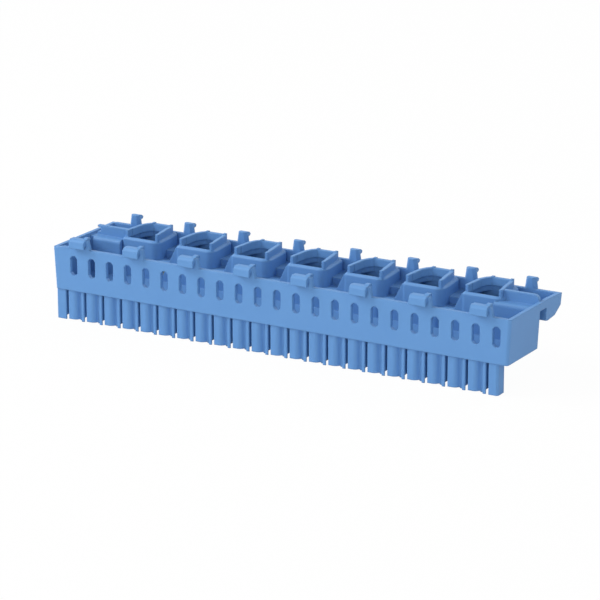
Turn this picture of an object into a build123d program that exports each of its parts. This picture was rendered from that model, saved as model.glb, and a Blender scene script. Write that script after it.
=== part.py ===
from build123d import *
import os

# Terminal block with seven screw clamps. Millimetres, +Z up, wire side towards -Y.
# Sizes are laid out from the left end of the box (x), its front face (y) and its floor (z),
# and every node is shifted by the same amount when it is written.

# Pitches and counts
PITCH = 5.1
SLOTS = 23
CLAMPS = 7
CLAMP_PITCH = 3 * PITCH

# Box
LENGTH = 120.4
HEIGHT = 10.65
LEAN = 0.6
WALL = 1.0
FLOOR = 1.0
BOX_BACK = 14.85
CORNER_R = 0.7
END_DROP = 0.4
END_DROP_X0 = 0.2
END_DROP_X1 = 2.6

# Front windows
SLOT_FIRST = 5.35
SLOT_W = 1.95
SLOT_H = 4.75
SLOT_CUT = 0.6
SLOT_Z = 6.25

# Rear beam with its open trough
GROOVE_TOP = 8.8
BEAM_FRONT = 18.2
BEAM_BOTTOM = 5.45
BEAM_BACK = 25.8
BEAM_LIP = 0.2
BEAM_FOOT = 1.0
BEAM_HEEL = 3.0
BEAM_HEEL_RISE = 0.35
BEAM_SIDE = 0.2
BEAM_SIDE_RISE = 2.1
REAR_WALL = 1.1
TROUGH_FRONT = 19.2
TROUGH_BACK = BEAM_BACK - REAR_WALL
TROUGH_FLOOR = 7.7
REAR_DROP = 0.3
DECK_TOP = 9.7
SHOULDER_Y = 13.5
SHOULDER_LEFT = 1.7
SHOULDER_LOW = 5.0
SHOULDER_R = 0.9
SHOULDER_REACH = 1.0

# Guard ribs of the end bays
RIB_Y = 15.8
RIB_T = 1.0
RIB_TOP = 12.1
RIB_LEFT = 1.7
RIB_R = 1.3

# Towers
MIDDLE = LENGTH / 2
TOWER_LEFT = 4.75
TOWER_RIGHT = 5.85
TOWER_TAPER = 0.08
TOWER_Y = 14.3
TOWER_TOP = 10.55
TOWER_BOTTOM = -2.4
TOWER_R = 2.0
TOWER_LEFT_R = 0.9
TOWER_EDGE = 0.45
WELL_FRONT = 15.2
WELL_FLOOR = 7.2
CAVITY_W = 8.2
CAVITY_Y0 = 16.9
CAVITY_Y1 = 23.6
CAVITY_TOP = 8.95
UNDERCUT = 0.45
UNDERCUT_TOP = 10.3
WEB_T = 1.0
WEB_SLANT = 0.5
WEB_IN = 0.3
ROOF_RISE = 0.5

# Collar round each well, open to the front
COLLAR_LEFT = 4.15
COLLAR_RIGHT = 5.3
COLLAR_T = 0.9
COLLAR_Y0 = 15.0
COLLAR_Y1 = 24.0
COLLAR_TOP = 12.2
COLLAR_CUT = 3.1
COLLAR_NIP = 0.8
COLLAR_END = 0.25
COLLAR_ROOT = 1.5
COLLAR_NARROW = 0.13
COLLAR_SIDE_IN = 0.35
PIP_W = 0.7
PIP_H = 0.2

# Front hooks: a tab on the wall with a lip folded down its front and a small ear at its right end
HOOKS = CLAMPS + 1
HOOK_PITCH = CLAMP_PITCH - 0.065
HOOK_OFFSET = 0.05
HOOK_W = 4.2
HOOK_TOP = 13.1
HOOK_REACH = 1.2
HOOK_NOSE = 12.5
HOOK_LOW = 10.85
HOOK_SKIN = 0.45
HOOK_UNDER = 0.4
HOOK_FALL = 0.05
EAR_W = 1.1
EAR_RISE = 0.25
EAR_BACK = 2.0
TAB_TOP = 12.9
TAB_TOP_W = 5.0
TAB_FOOT_W = 6.0

# Rear hooks
REAR_HOOK_TOP = 13.0
REAR_HOOK_W = 2.3
REAR_FOOT_W = 3.0
REAR_NOSE = 1.2
REAR_BEVEL = 0.6
REAR_FALL = 0.1
REAR_NOSE_DROP = 0.6
REAR_NOSE_LOW = 1.05
REAR_NOSE_T = 1.25
REAR_OFFSET = -0.25

# Leg comb
LEG_DROP = 7.4
LEG_BACK = 3.2
SLIT_FIRST = 3.07
SLIT_W = 0.66
COMB_INSET = 2.4
LEG_FRONT = 0.25
LEG_EDGE = 0.1
LEG_CUT = 0.4
HOLLOW = 0.66
FLAT_RISE = 0.2
SKIN = 1.45
LIP_SKIN = 0.3
SKIN_DROP = 1.0
LIP_REACH = 0.5
SKIN_REACH = 1.3
LEG_ROOT = 0.5
WEB_Y = 2.5

# Clamp: cage, screw and bar
CAGE_GAP = 0.35
CAGE_W = CAVITY_W - 2 * CAGE_GAP
CAGE_Y0 = CAVITY_Y0 + 0.5
CAGE_Y1 = CAVITY_Y1 - 0.7
CAGE_BOTTOM = -1.2
CAGE_TOP = 6.0
CAGE_PLATE = 1.0
CAGE_LID = 1.4
CAGE_SIDE = 0.8
SCREW_R = CAGE_W / 3
SCREW_GAP = 0.3
SCREW_TOP = 7.6
SCREW_EDGE = 0.35
SCREW_SLOT_W = 1.0
SCREW_SLOT_D = 1.3
TONGUE_Z = 2.6
TONGUE_T = 1.2
TONGUE_GAP = 0.35
TONGUE_W = CAGE_W - 2 * CAGE_SIDE - 2 * TONGUE_GAP
TONGUE_END = CAVITY_Y1 - 0.6
SPINE_T = 1.0
SPINE_BACK = CAVITY_Y0 - 0.4
SPINE_Y0 = SPINE_BACK - SPINE_T
SPINE_BOTTOM = 1.4
SPINE_TOP = 4.3
SPINE_GAP = 0.15
SPINE_END_GAP = 0.4
ENTRY_W = CAVITY_W - 2.2
ENTRY_Z0 = -0.6
ENTRY_Z1 = 3.2

# How far cutters run past a face, and joined pieces into each other
OVER = 0.1
CLEAR = 1.0

SHIFT = Vector(-LENGTH / 2, (HOOK_REACH - BEAM_BACK - REAR_NOSE) / 2, LEG_DROP)


def block(x0, x1, y0, y1, z0, z1):
    """A box given by its limits."""
    return Pos((x0 + x1) / 2, (y0 + y1) / 2, (z0 + z1) / 2) * Box(x1 - x0, y1 - y0, z1 - z0)


def prism_x(points, x0, x1):
    """A solid with the given outline in Y and Z, running along X."""
    face = make_face(Polyline(*[(x0, y, z) for y, z in points], close=True))
    return extrude(face, amount=x1 - x0, dir=(1, 0, 0))


def prism_y(points, y0, y1):
    """A solid with the given outline in X and Z, running along Y."""
    face = make_face(Polyline(*[(x, y0, z) for x, z in points], close=True))
    return extrude(face, amount=y1 - y0, dir=(0, 1, 0))


def prism_z(points, z0, z1):
    """A solid with the given outline in X and Y, standing up."""
    face = make_face(Polyline(*[(x, y, z0) for x, y in points], close=True))
    return extrude(face, amount=z1 - z0, dir=(0, 0, 1))


def clamp_x(i):
    """Centre of clamp i, counted from 0."""
    return MIDDLE + (i - (CLAMPS - 1) / 2) * CLAMP_PITCH


def leaning_envelope():
    """The block between the two end faces, which lean outwards, with round front corners."""
    points = [(0, 0), (LENGTH, 0), (LENGTH + LEAN, HEIGHT), (-LEAN, HEIGHT)]
    body = prism_y(points, 0, BEAM_BACK)
    corners = [e for e in body.edges() if abs(e.center().Y) < 0.01 and abs(e.center().Z - HEIGHT / 2) < 0.1]
    return fillet(corners, CORNER_R)


def inner_space(y0, y1, z0):
    """The room between the end walls, from z0 upwards."""
    lean = LEAN / HEIGHT
    top = HEIGHT + 3 * CLEAR
    points = [
        (WALL - lean * z0, z0),
        (LENGTH - WALL + lean * z0, z0),
        (LENGTH - WALL + lean * top, top),
        (WALL - lean * top, top),
    ]
    return prism_y(points, y0, y1)


def tray():
    """Box, deck and rear beam in one, hollowed from above."""
    outline = [
        (0, 0),
        (BOX_BACK, 0),
        (BOX_BACK, GROOVE_TOP),
        (BEAM_FRONT, GROOVE_TOP),
        (BEAM_FRONT, BEAM_BOTTOM + BEAM_LIP),
        (BEAM_FRONT + BEAM_FOOT, BEAM_BOTTOM),
        (BEAM_BACK - BEAM_HEEL, BEAM_BOTTOM + BEAM_HEEL_RISE),
        (BEAM_BACK - BEAM_SIDE, BEAM_BOTTOM + BEAM_SIDE_RISE),
        (BEAM_BACK, HEIGHT - REAR_DROP),
        (TROUGH_FRONT, HEIGHT),
        (0, HEIGHT),
    ]
    body = prism_x(outline, -2 * CLEAR, LENGTH + 2 * CLEAR) & leaning_envelope()
    body -= inner_space(WALL, SHOULDER_Y, FLOOR)
    body -= inner_space(SHOULDER_Y - OVER / 10, TROUGH_BACK, DECK_TOP)
    body -= inner_space(TROUGH_FRONT, TROUGH_BACK, TROUGH_FLOOR)
    x0 = clamp_x(0) - TOWER_LEFT
    x1 = clamp_x(CLAMPS - 1) + TOWER_LEFT
    top = HEIGHT + CLEAR
    body -= block(x0, x1 - SHOULDER_REACH, SHOULDER_Y - OVER, TOWER_Y, FLOOR, top)
    body -= block(x0, x1, BOX_BACK, BEAM_FRONT, BEAM_BOTTOM - CLEAR, top)
    body -= block(x0, x1, BEAM_FRONT - OVER, TROUGH_FRONT, TROUGH_FLOOR, top)
    body -= block(x0, x1, TOWER_Y - OVER, BOX_BACK + OVER, FLOOR, top)
    return body


def end_drop():
    """What the top edge of the left end lies below the other edges, with a slope down to it."""
    points = [
        (-2 * CLEAR, HEIGHT - END_DROP),
        (END_DROP_X0, HEIGHT - END_DROP),
        (END_DROP_X1, HEIGHT),
        (END_DROP_X1, HEIGHT + CLEAR),
        (-2 * CLEAR, HEIGHT + CLEAR),
    ]
    return prism_y(points, -CLEAR, BEAM_BACK + CLEAR)


def shoulder_relief():
    """The gap that frees the left end of the deck from the end wall."""
    return block(WALL - 0.75 * LEAN, SHOULDER_LEFT, SHOULDER_Y - OVER, BOX_BACK - LEAN, SHOULDER_LOW, HEIGHT)


def edge_round(x0, x1, y, z, r):
    """What a round of radius r takes off a front top edge along X."""
    corner = block(x0, x1, y - OVER / 10, y + r, z - r, z + OVER / 10)
    rod = Pos((x0 + x1) / 2, y + r, z - r) * Rot(0, 90, 0) * Cylinder(r, x1 - x0 + CLEAR)
    return corner - rod


def tower(i):
    """Outside of one tower: narrower at the back, its corners round and its rim bevelled, still solid."""
    x = clamp_x(i)
    y1 = TROUGH_BACK + 3 * OVER
    points = [
        (x - TOWER_LEFT, TOWER_Y),
        (x + TOWER_RIGHT, TOWER_Y),
        (x + TOWER_RIGHT - TOWER_TAPER * (y1 - TOWER_Y), y1),
        (x - TOWER_LEFT, y1),
    ]
    body = prism_z(points, TOWER_BOTTOM, TOWER_TOP)
    posts = body.edges().filter_by(Axis.Z)
    body = fillet([e for e in posts if e.center().X > x], TOWER_R)
    posts = body.edges().filter_by(Axis.Z)
    body = fillet([e for e in posts if e.center().X < x and e.center().Y < TOWER_Y + OVER], TOWER_LEFT_R)
    rim = [e for e in body.edges() if abs(e.center().Z - TOWER_TOP) < 0.01 and e.center().Y < TROUGH_BACK]
    return chamfer(rim, TOWER_EDGE)


def collar_plan(i, inset, z):
    """The collar's outline at height z: wider in front, with a wide two-step cut and a small one behind."""
    x = clamp_x(i)
    left = x - COLLAR_LEFT
    right = x + COLLAR_RIGHT
    narrow = COLLAR_NARROW * (COLLAR_Y1 - COLLAR_Y0)
    outer = [
        (left, COLLAR_Y0, z),
        (left + COLLAR_SIDE_IN, COLLAR_Y1 - COLLAR_CUT, z),
        (left + 0.4 * COLLAR_CUT, COLLAR_Y1 - 0.37 * COLLAR_CUT, z),
        (left + 0.75 * COLLAR_CUT, COLLAR_Y1, z),
        (right - narrow - COLLAR_NIP, COLLAR_Y1, z),
        (right - narrow, COLLAR_Y1 - COLLAR_NIP, z),
        (right, COLLAR_Y0, z),
    ]
    plan = make_face(Polyline(*outer, close=True))
    return offset(plan, -inset, kind=Kind.INTERSECTION) if inset else plan


def collar(i):
    """The raised wall round a well, open to the front between two arms with bevelled ends."""
    x = clamp_x(i)
    root = TOWER_TOP - COLLAR_ROOT
    body = extrude(collar_plan(i, 0, root), amount=COLLAR_TOP - root, dir=(0, 0, 1))
    ends = [e for e in body.edges().filter_by(Axis.Z) if e.center().Y < COLLAR_Y0 + OVER]
    body = chamfer(ends, COLLAR_END)
    for side in (x - COLLAR_LEFT + 0.78 * COLLAR_CUT, x + COLLAR_RIGHT - 3.2 * PIP_W):
        body += block(side, side + PIP_W, COLLAR_Y1 - COLLAR_T, COLLAR_Y1, TOWER_TOP, COLLAR_TOP + PIP_H)
    x0 = x - COLLAR_LEFT + COLLAR_T
    x1 = x + COLLAR_RIGHT - COLLAR_T
    return body - block(x0, x1, COLLAR_Y0 - CLEAR, COLLAR_Y0 + 2 * COLLAR_T, TOWER_TOP, COLLAR_TOP + CLEAR)


def well(i):
    """The hole inside the collar with its undercut, the clamp room below it and the rear wire entry."""
    x = clamp_x(i)
    top = COLLAR_TOP + CLEAR
    hole = extrude(collar_plan(i, COLLAR_T, WELL_FLOOR), amount=top - WELL_FLOOR, dir=(0, 0, 1))
    wide = collar_plan(i, COLLAR_T - UNDERCUT, WELL_FLOOR)
    wide = extrude(wide, amount=UNDERCUT_TOP - WELL_FLOOR, dir=(0, 0, 1))
    x0 = x - COLLAR_LEFT + COLLAR_T
    x1 = x + COLLAR_RIGHT - COLLAR_T
    front = block(x0, x1 - OVER, WELL_FRONT, COLLAR_Y0 + 1.5 * COLLAR_T, WELL_FLOOR, top)
    room = block(x - CAVITY_W / 2, x + CAVITY_W / 2, CAVITY_Y0, CAVITY_Y1, TOWER_BOTTOM - CLEAR, CAVITY_TOP)
    entry = block(x - ENTRY_W / 2, x + ENTRY_W / 2, CAVITY_Y1 - OVER, BEAM_BACK, ENTRY_Z0, ENTRY_Z1)
    return hole + wide + front + room + entry


def gap_web(i):
    """The back wall between tower i and the next one, cut on the slant, and the roof over the spine."""
    x0 = clamp_x(i) + TOWER_RIGHT - TOWER_R
    side = clamp_x(i + 1) - TOWER_LEFT
    x1 = side + TOWER_LEFT_R
    top = TOWER_TOP - TOWER_EDGE
    foot = side - WEB_SLANT * (top - FLOOR)
    points = [(foot, FLOOR), (foot, FLOOR / 2), (x1, FLOOR / 2), (x1, top), (side, top)]
    y0 = TOWER_Y + WEB_IN
    roof = block(x0, x1, y0, BEAM_FRONT + BEAM_LIP, SPINE_TOP + SPINE_GAP, BEAM_BOTTOM + ROOF_RISE)
    return prism_y(points, y0, y0 + WEB_T) + roof


def rib(x0, x1):
    """An upright guard rib standing on the deck of an end bay."""
    return block(x0, x1, RIB_Y, RIB_Y + RIB_T, DECK_TOP - RIB_T / 2, RIB_TOP)


def right_rib(x0):
    """The right end's rib: it runs into the end wall and has a round top corner there."""
    x1 = LENGTH - WALL + LEAN + OVER
    body = rib(x0, x1)
    upright = body.edges().filter_by(Axis.Y)
    corner = [e for e in upright if e.center().X > x1 - OVER and e.center().Z > RIB_TOP - OVER]
    return fillet(corner, RIB_R)


def hook_x(i, pitch):
    """Centre of hook i, counted from 0: the hooks stand between the clamps."""
    return MIDDLE + (i - (HOOKS - 1) / 2) * pitch


def tab(x, foot, head, y0, y1, top):
    """An upright tab on a wall's edge that narrows from foot to head."""
    points = [
        (x - foot / 2, HEIGHT - END_DROP - OVER),
        (x + foot / 2, HEIGHT - END_DROP - OVER),
        (x + foot / 2, HEIGHT),
        (x + head / 2, top),
        (x - head / 2, top),
        (x - foot / 2, HEIGHT),
    ]
    return prism_y(points, y0, y1)


def front_hook(x):
    """A tab on the front wall with a plate folded over it, whose right end runs on backwards as an ear."""
    plate = [
        (WALL, HOOK_TOP),
        (-0.4 * HOOK_REACH, HOOK_TOP - HOOK_FALL),
        (-HOOK_REACH, HOOK_NOSE),
        (-HOOK_REACH, HOOK_LOW),
        (-HOOK_REACH + HOOK_SKIN, HOOK_LOW),
        (-HOOK_REACH + 1.7 * HOOK_SKIN, HOOK_NOSE - 0.7),
        (OVER, HOOK_NOSE - HOOK_UNDER),
        (WALL, HOOK_NOSE - HOOK_UNDER),
    ]
    ear = [
        (0.2, HOOK_NOSE - 0.2),
        (0.2, HOOK_TOP),
        (0.8, HOOK_TOP + EAR_RISE),
        (EAR_BACK - 0.3, HOOK_TOP + EAR_RISE),
        (EAR_BACK, HOOK_TOP),
        (EAR_BACK, HOOK_TOP - HOOK_SKIN),
        (WALL + 0.3, HOOK_TOP - HOOK_SKIN),
        (WALL - 0.1, HOOK_NOSE - 0.6),
    ]
    end = x + HOOK_W / 2
    body = tab(x, TAB_FOOT_W, TAB_TOP_W, 0, WALL, TAB_TOP)
    return body + prism_x(plate, x - HOOK_W / 2, end) + prism_x(ear, end - EAR_W, end)


def rear_hook(x):
    """A narrow tab on the rear wall with bevelled front edges, its nose pointing backwards."""
    post = tab(x, REAR_FOOT_W, REAR_HOOK_W, TROUGH_BACK, BEAM_BACK, REAR_HOOK_TOP)
    low = HEIGHT + OVER
    sides = [e for e in post.edges() if e.center().Y < TROUGH_BACK + OVER / 10 and e.center().Z > low]
    sides = [e for e in sides if abs(e.center().X - x) > REAR_HOOK_W / 4]
    post = chamfer(sides, REAR_BEVEL)
    outline = [
        (BEAM_BACK - OVER, REAR_HOOK_TOP),
        (BEAM_BACK + 0.5 * REAR_NOSE, REAR_HOOK_TOP - REAR_FALL),
        (BEAM_BACK + REAR_NOSE, REAR_HOOK_TOP - REAR_NOSE_DROP),
        (BEAM_BACK + 0.8 * REAR_NOSE, REAR_HOOK_TOP - REAR_NOSE_LOW),
        (BEAM_BACK - OVER, REAR_HOOK_TOP - REAR_NOSE_T),
    ]
    return post + prism_x(outline, x - REAR_HOOK_W / 2, x + REAR_HOOK_W / 2)


def tip_relief(u0, u1):
    """What is taken off the back of a leg's tip, so that only a skin is left at its front."""
    f = LEG_FRONT
    points = [
        (u1 + OVER, f + LIP_SKIN),
        (u1 - LIP_REACH, f + LIP_SKIN),
        (u1 - SKIN_REACH, f + SKIN),
        (u0 - OVER, f + SKIN),
        (u0 - OVER, LEG_BACK + CLEAR),
        (u1 + OVER, LEG_BACK + CLEAR),
    ]
    return prism_z(points, -LEG_DROP - CLEAR, -LEG_DROP + SKIN_DROP)


def leg(u0, u1):
    """One leg of the comb between two slits: a flat that rolls into a hollow, and a narrow ridge."""
    w = u1 - u0
    f = LEG_FRONT
    start = (u0 + 0.28 * w, f)
    lower = (u0 + 0.55 * w, f + HOLLOW)
    raised = (u0 + 0.76 * w, f + HOLLOW)
    ridge = (u0 + 0.84 * w, f)
    roll = TangentArc(start, lower, tangent=(1, 0))
    hollow = TangentArc(lower, raised, tangent=roll % 1)
    e = LEG_EDGE
    right = [raised, ridge, (u1 - e, f), (u1, f + e), (u1, LEG_BACK)]
    left = [(u0, LEG_BACK), (u0, f + e), (u0 + e, f), start]
    sides = Polyline(*right, *left)
    plan = make_face(roll + hollow + sides)
    body = extrude(Pos(0, 0, -LEG_DROP) * plan, amount=LEG_DROP + LEG_ROOT, dir=(0, 0, 1))
    low = -LEG_DROP - CLEAR
    body -= block(u0 - OVER, u0 + 0.62 * w, -CLEAR, LEG_BACK + CLEAR, low, -LEG_DROP + FLAT_RISE)
    return body - tip_relief(u0, u1)


def plain_leg(x0, x1, cut_left, cut_right):
    """An end leg of the comb with a cut outer corner."""
    f = LEG_FRONT
    points = [(x0, LEG_BACK), (x0, f + cut_left), (x0 + cut_left, f)]
    points += [(x1 - cut_right, f), (x1, f + cut_right), (x1, LEG_BACK)]
    return prism_z(points, -LEG_DROP, LEG_ROOT)


def comb():
    """All legs with the thin web behind them."""
    slit = [SLIT_FIRST + k * PITCH for k in range(SLOTS)]
    body = block(slit[0] - CLEAR, slit[-1] + CLEAR, WEB_Y, LEG_BACK, -LEG_DROP + SKIN_DROP, LEG_ROOT)
    end = slit[0] - SLIT_W / 2
    body += plain_leg(0, end, LEG_CUT, LEG_EDGE) - tip_relief(0, end)
    body += plain_leg(slit[-1] + SLIT_W / 2, LENGTH - COMB_INSET, LEG_EDGE, LEG_CUT)
    body += [leg(a + SLIT_W / 2, b - SLIT_W / 2) for a, b in zip(slit, slit[1:])]
    return body


def front_slots():
    """The row of tall windows with cut corners through the front wall."""
    w = SLOT_W / 2
    h = SLOT_H / 2
    c = SLOT_CUT
    upper = [(w, h - c), (w - c, h), (c - w, h), (-w, h - c)]
    lower = [(-w, c - h), (c - w, -h), (w - c, -h), (w, c - h)]
    cutter = prism_y(upper + lower, -CLEAR, WALL + CLEAR)
    return [Pos(SLOT_FIRST + k * PITCH, 0, SLOT_Z) * cutter for k in range(SLOTS)]


def spine_channel():
    """The slit under the towers in which the bar's spine is pressed."""
    x0 = clamp_x(0) - CAVITY_W / 2 - SPINE_END_GAP
    x1 = clamp_x(CLAMPS - 1) + CAVITY_W / 2 + SPINE_END_GAP
    y0 = SPINE_Y0 - SPINE_GAP
    return block(x0, x1, y0, CAVITY_Y0 + OVER / 10, TOWER_BOTTOM - CLEAR, SPINE_TOP + SPINE_GAP)


def housing():
    """The whole insulating body as one moulding."""
    body = tray()
    body -= shoulder_relief()
    first = clamp_x(0) - TOWER_LEFT
    last = clamp_x(CLAMPS - 1) + TOWER_LEFT
    body -= edge_round(SHOULDER_LEFT - CLEAR, first + CLEAR, SHOULDER_Y, DECK_TOP, SHOULDER_R)
    body -= edge_round(last - SHOULDER_REACH - CLEAR, LENGTH - WALL, SHOULDER_Y, DECK_TOP, SHOULDER_R)
    body += [tower(i) for i in range(CLAMPS)]
    body += [gap_web(i) for i in range(CLAMPS - 1)]
    body += [rib(RIB_LEFT, first + CLEAR), right_rib(last - CLEAR)]
    body += [collar(i) for i in range(CLAMPS)]
    body -= end_drop()
    body += comb()
    for i in range(HOOKS):
        body += front_hook(hook_x(i, HOOK_PITCH) + HOOK_OFFSET)
        body += rear_hook(hook_x(i, CLAMP_PITCH) + REAR_OFFSET)
    body -= [well(i) for i in range(CLAMPS)]
    body -= spine_channel()
    body -= front_slots()
    return body


def bar():
    """The brass bar: a spine along the towers with one tongue into every cage."""
    x0 = clamp_x(0) - CAVITY_W / 2
    x1 = clamp_x(CLAMPS - 1) + CAVITY_W / 2
    body = block(x0, x1, SPINE_Y0, SPINE_Y0 + SPINE_T, SPINE_BOTTOM, SPINE_TOP)
    for i in range(CLAMPS):
        x = clamp_x(i)
        body += block(x - TONGUE_W / 2, x + TONGUE_W / 2, SPINE_Y0, TONGUE_END, TONGUE_Z, TONGUE_Z + TONGUE_T)
    return body


def cage(i):
    """A rising clamp cage: a square loop round tongue and wire, its lid tapped for the screw."""
    x = clamp_x(i)
    h = CAGE_W / 2
    body = block(x - h, x + h, CAGE_Y0, CAGE_Y1, CAGE_BOTTOM, CAGE_TOP)
    inside = h - CAGE_SIDE
    floor = CAGE_BOTTOM + CAGE_PLATE
    body -= block(x - inside, x + inside, CAGE_Y0 - CLEAR, CAGE_Y1 + CLEAR, floor, CAGE_TOP - CAGE_LID)
    return body - Pos(x, (CAGE_Y0 + CAGE_Y1) / 2, CAGE_TOP) * Cylinder(SCREW_R + SCREW_GAP, 4 * CAGE_LID)


def screw(i):
    """A headless clamp screw with a driver slot."""
    x = clamp_x(i)
    y = (CAGE_Y0 + CAGE_Y1) / 2
    z0 = TONGUE_Z + TONGUE_T + SCREW_GAP
    body = Pos(x, y, (z0 + SCREW_TOP) / 2) * Cylinder(SCREW_R, SCREW_TOP - z0)
    rim = body.edges().filter_by(GeomType.CIRCLE).sort_by(Axis.Z)[-1]
    body = chamfer(rim, SCREW_EDGE)
    half = SCREW_SLOT_W / 2
    slot = block(x - SCREW_R, x + SCREW_R, y - half, y + half, SCREW_TOP - SCREW_SLOT_D, SCREW_TOP + CLEAR)
    return body - slot


def save(shape, node):
    """Shifts a finished node into the shared frame and writes it."""
    moved = Pos(SHIFT) * shape
    solids = moved.solids()
    print(node, "solids", len(solids), "volume", round(moved.volume, 1))
    export_step(solids[0] if len(solids) == 1 else moved, "parts/" + node + ".step")


os.makedirs("parts", exist_ok=True)
save(housing(), "housing")
save(bar(), "bar")
for number in range(CLAMPS):
    save(cage(number), "cage_" + str(number + 1))
    save(screw(number), "screw_" + str(number + 1))
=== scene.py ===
"""Looks of the terminal block: satin blue moulding, stamped brass bar, zinc plated cages and screws."""

import math

import bpy
import numpy as np
from mathutils import Matrix, Vector

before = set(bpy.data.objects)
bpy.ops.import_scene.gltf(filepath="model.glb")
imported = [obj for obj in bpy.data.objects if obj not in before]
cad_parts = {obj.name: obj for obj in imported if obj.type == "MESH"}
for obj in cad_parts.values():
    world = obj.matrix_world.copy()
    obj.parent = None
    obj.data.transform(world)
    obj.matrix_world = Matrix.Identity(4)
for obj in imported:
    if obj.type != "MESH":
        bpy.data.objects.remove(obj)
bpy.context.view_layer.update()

MM = 0.001

# Camera, from the fit of the photo: angles in degrees, place in metres, focal length in pixels
AZIMUTH = 30.35
ELEVATION = 16.89
ROLL = -0.1
CAMERA_PLACE = (0.339242, -0.579667, 0.214067)
PHOTO_WIDTH = 600
FOCAL_PIXELS = 3017.8
SENSOR = 36.0
NEAR_CLIP = 0.01

# Housing: two close linear colours that the moulding clouds between, its gloss and the radius of its edges
HOUSING_BLUE = (0.123, 0.286, 0.572)
HOUSING_DEEP = (0.107, 0.258, 0.535)
CLOUD_SCALE = 180.0
CLOUD_CONTRAST = 0.8
CLOUD_LIFT = 0.25
GRAIN_SCALE = 9000.0
GRAIN_ROUGHNESS = 0.6
GRAIN_BUMP = 0.1
GRAIN_DEPTH = 0.02 * MM
SATIN = 0.42
SATIN_SPREAD = 0.06
PLASTIC_IOR = 1.47
PLASTIC_SPECULAR = 0.2
MOULD_EDGE = 0.38 * MM
MOULD_EDGE_SAMPLES = 6

# Metal: colours, streaks along the row, darker blotches and small broken edges
BRASS = (0.78, 0.60, 0.28)
BRASS_ROUGHNESS = 0.26
BRASS_STREAK = 0.15
ZINC = (0.62, 0.62, 0.60)
ZINC_ROUGHNESS = 0.34
ZINC_STREAK = 0.2
STREAK_SCALE = 6000.0
STREAK_DETAIL = 3.0
STREAK_STRETCH = (0.06, 1, 1)
STREAK_ROUGHNESS = 0.6
STREAK_DEPTH = 0.01 * MM
STREAK_SPREAD = 0.12
BLOTCH_SCALE = 500.0
BLOTCH_DARK = 0.78
METAL_EDGE = 0.1 * MM
METAL_EDGE_SAMPLES = 4

# Surroundings: the strength of the sky, and a floor that looks almost white but keeps the shadow
WHITE = (1, 1, 1, 1)
SKY = 0.30
FLOOR_PALE = (0.80, 0.80, 0.80, 1)
FLOOR_GLOW = 0.97
FLOOR_REACH = 4.0

# Square lamps: place and side in metres, power in watts. All face the same point of the block.
LAMPS = {
    "left": ((-0.75, -0.35, 0.65), 0.6, 10.0),
    "front": ((0.1, -1.0, 0.3), 0.6, 2.8),
    "right": ((0.8, -0.3, 0.35), 0.8, 2.1),
    "back": ((0.3, 0.75, 0.75), 0.5, 3.5),
}
LAMP_AIM = (0, 0, 0.01)


class Wire:
    """An output socket that takes part in arithmetic: each operation adds a Math node."""

    def __init__(self, graph, socket):
        self.graph = graph
        self.socket = socket

    def math(self, operation, first, second):
        """One Math node on two values."""
        return self.graph.add("ShaderNodeMath", {"operation": operation}, {0: first, 1: second})

    def __add__(self, other):
        return self.math("ADD", self, other)

    def __radd__(self, other):
        return self.math("ADD", other, self)

    def __sub__(self, other):
        return self.math("SUBTRACT", self, other)

    def __rsub__(self, other):
        return self.math("SUBTRACT", other, self)

    def __mul__(self, other):
        return self.math("MULTIPLY", self, other)

    def __rmul__(self, other):
        return self.math("MULTIPLY", other, self)


class Graph:
    """The node tree of a material or of the world, emptied and built up again."""

    def __init__(self, owner):
        owner.use_nodes = True
        self.owner = owner
        self.tree = owner.node_tree
        self.tree.nodes.clear()

    def add(self, kind, settings=None, sockets=None, output=0):
        """Adds a node: its settings first, then the value or link of each socket. Gives one output."""
        node = self.tree.nodes.new(kind)
        for name, value in (settings or {}).items():
            setattr(node, name, value)
        for name, value in (sockets or {}).items():
            if isinstance(value, Wire):
                self.tree.links.new(value.socket, node.inputs[name])
            else:
                node.inputs[name].default_value = value
        return Wire(self, node.outputs[output]) if node.outputs else None

    def place(self, scale=(1, 1, 1)):
        """Object coordinates, stretched."""
        spot = self.add("ShaderNodeTexCoord", output="Object")
        return self.add("ShaderNodeMapping", {}, {"Vector": spot, "Scale": scale})

    def noise(self, spot, scale, detail=2.0, roughness=0.5):
        """Smooth noise from 0 to 1."""
        sockets = {"Vector": spot, "Scale": scale, "Detail": detail, "Roughness": roughness}
        return self.add("ShaderNodeTexNoise", {"noise_dimensions": "3D"}, sockets)

    def shade(self, first, second, mask):
        """A blend of two colours by a mask."""
        sockets = {0: mask, 6: (*first, 1), 7: (*second, 1)}
        return self.add("ShaderNodeMix", {"data_type": "RGBA"}, sockets, output=2)

    def relief(self, height, strength, depth, edge, samples):
        """A normal that follows a height pattern and runs round the edges within the given radius."""
        broken = self.add("ShaderNodeBevel", {"samples": samples}, {"Radius": edge})
        sockets = {"Height": height, "Strength": strength, "Distance": depth, "Normal": broken}
        return self.add("ShaderNodeBump", {}, sockets)

    def seen(self):
        """1 where the camera looks straight at a thing, or at its mirror image or through glass."""
        camera = self.add("ShaderNodeLightPath", output="Is Camera Ray")
        glossy = self.add("ShaderNodeLightPath", output="Is Glossy Ray")
        through = self.add("ShaderNodeLightPath", output="Is Transmission Ray")
        return 1 - (1 - camera) * (1 - glossy) * (1 - through)

    def close(self, shader, kind="ShaderNodeOutputMaterial"):
        """Links the shader to the output and gives the owner of the tree."""
        self.add(kind, {}, {"Surface": shader})
        return self.owner


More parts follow.
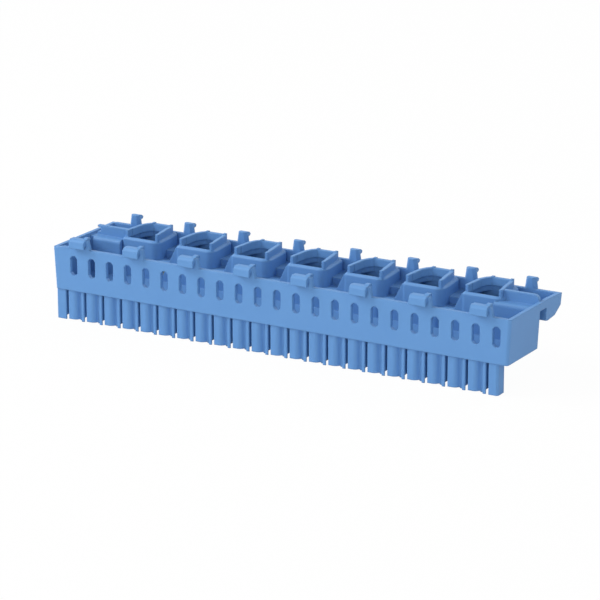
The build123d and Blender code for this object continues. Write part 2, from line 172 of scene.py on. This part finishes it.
def moulded_blue():
    """Satin moulded plastic: faint cloudiness, fine spark texture, edges broken by the mould."""
    g = Graph(bpy.data.materials.new("moulded_blue"))
    spot = g.place()
    cloud = g.noise(spot, CLOUD_SCALE)
    grain = g.noise(spot, GRAIN_SCALE, roughness=GRAIN_ROUGHNESS)
    sockets = {
        "Base Color": g.shade(HOUSING_DEEP, HOUSING_BLUE, cloud * CLOUD_CONTRAST + CLOUD_LIFT),
        "Roughness": grain * SATIN_SPREAD + cloud * SATIN_SPREAD + SATIN,
        "Normal": g.relief(grain, GRAIN_BUMP, GRAIN_DEPTH, MOULD_EDGE, MOULD_EDGE_SAMPLES),
        "IOR": PLASTIC_IOR,
        "Specular IOR Level": PLASTIC_SPECULAR,
    }
    return g.close(g.add("ShaderNodeBsdfPrincipled", {}, sockets))


def plated(name, colour, roughness, streak):
    """Plated or stamped metal with fine rolling streaks along the row and darker blotches."""
    g = Graph(bpy.data.materials.new(name))
    lines = g.noise(g.place(STREAK_STRETCH), STREAK_SCALE, STREAK_DETAIL, STREAK_ROUGHNESS)
    blotch = g.noise(g.place(), BLOTCH_SCALE)
    dark = tuple(BLOTCH_DARK * c for c in colour)
    sockets = {
        "Base Color": g.shade(dark, colour, blotch),
        "Metallic": 1.0,
        "Roughness": lines * STREAK_SPREAD + roughness,
        "Normal": g.relief(lines, streak, STREAK_DEPTH, METAL_EDGE, METAL_EDGE_SAMPLES),
    }
    return g.close(g.add("ShaderNodeBsdfPrincipled", {}, sockets))


def dress(node, material):
    """Puts a material into every slot of a CAD node."""
    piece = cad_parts[node]
    for slot in piece.material_slots:
        slot.material = material
    if not piece.material_slots:
        piece.data.materials.append(material)


def pale_floor():
    """A level square, FLOOR_REACH each way from the origin. It looks white and keeps a soft shadow."""
    corners = FLOOR_REACH * np.array([(-1, -1, 0), (1, -1, 0), (1, 1, 0), (-1, 1, 0)])
    mesh = bpy.data.meshes.new("floor")
    mesh.from_pydata(corners.tolist(), [], [(0, 1, 2, 3)])
    floor = bpy.data.objects.new("floor", mesh)
    bpy.context.scene.collection.objects.link(floor)
    g = Graph(bpy.data.materials.new("pale_floor"))
    matt = g.add("ShaderNodeBsdfDiffuse", {}, {"Color": FLOOR_PALE})
    white = g.add("ShaderNodeEmission", {}, {"Color": WHITE, "Strength": 1.0})
    blend = g.add("ShaderNodeMixShader", {}, {0: g.seen() * FLOOR_GLOW, 1: matt, 2: white})
    mesh.materials.append(g.close(blend))


def white_surround():
    """A world that looks white and is a plain soft sky to everything else."""
    world = bpy.data.worlds.new("surround")
    bpy.context.scene.world = world
    g = Graph(world)
    sky = g.add("ShaderNodeBackground", {}, {"Color": WHITE, "Strength": SKY})
    white = g.add("ShaderNodeBackground", {}, {"Color": WHITE, "Strength": 1.0})
    blend = g.add("ShaderNodeMixShader", {}, {0: g.seen(), 1: sky, 2: white})
    g.close(blend, "ShaderNodeOutputWorld")


def lamp(name, place, size, power):
    """A square soft lamp that faces the block."""
    light = bpy.data.lights.new(name, "AREA")
    light.shape = "SQUARE"
    light.size = size
    light.energy = power
    holder = bpy.data.objects.new(name, light)
    bpy.context.scene.collection.objects.link(holder)
    holder.location = place
    holder.rotation_euler = (Vector(LAMP_AIM) - Vector(place)).to_track_quat("-Z", "Y").to_euler()


def photo_camera():
    """The camera at the photo's bearing, for a square image."""
    a = math.radians(AZIMUTH)
    e = math.radians(ELEVATION)
    back = Vector((math.sin(a) * math.cos(e), -math.cos(a) * math.cos(e), math.sin(e)))
    turn = back.to_track_quat("Z", "Y").to_matrix() @ Matrix.Rotation(math.radians(ROLL), 3, "Z")
    data = bpy.data.cameras.new("photo_camera")
    data.sensor_width = SENSOR
    data.lens = FOCAL_PIXELS / PHOTO_WIDTH * SENSOR
    data.clip_start = NEAR_CLIP
    camera = bpy.data.objects.new("photo_camera", data)
    bpy.context.scene.collection.objects.link(camera)
    camera.matrix_world = Matrix.Translation(CAMERA_PLACE) @ turn.to_4x4()
    bpy.context.scene.camera = camera


def main():
    """Dresses the nodes and sets the stage."""
    bpy.context.scene.view_settings.view_transform = "Standard"
    finishes = {
        "housing": moulded_blue(),
        "bar": plated("stamped_brass", BRASS, BRASS_ROUGHNESS, BRASS_STREAK),
    }
    zinc = plated("zinc_plate", ZINC, ZINC_ROUGHNESS, ZINC_STREAK)
    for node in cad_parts:
        dress(node, finishes.get(node, zinc))
    pale_floor()
    white_surround()
    for name, (place, size, power) in LAMPS.items():
        lamp(name, place, size, power)
    photo_camera()


main()
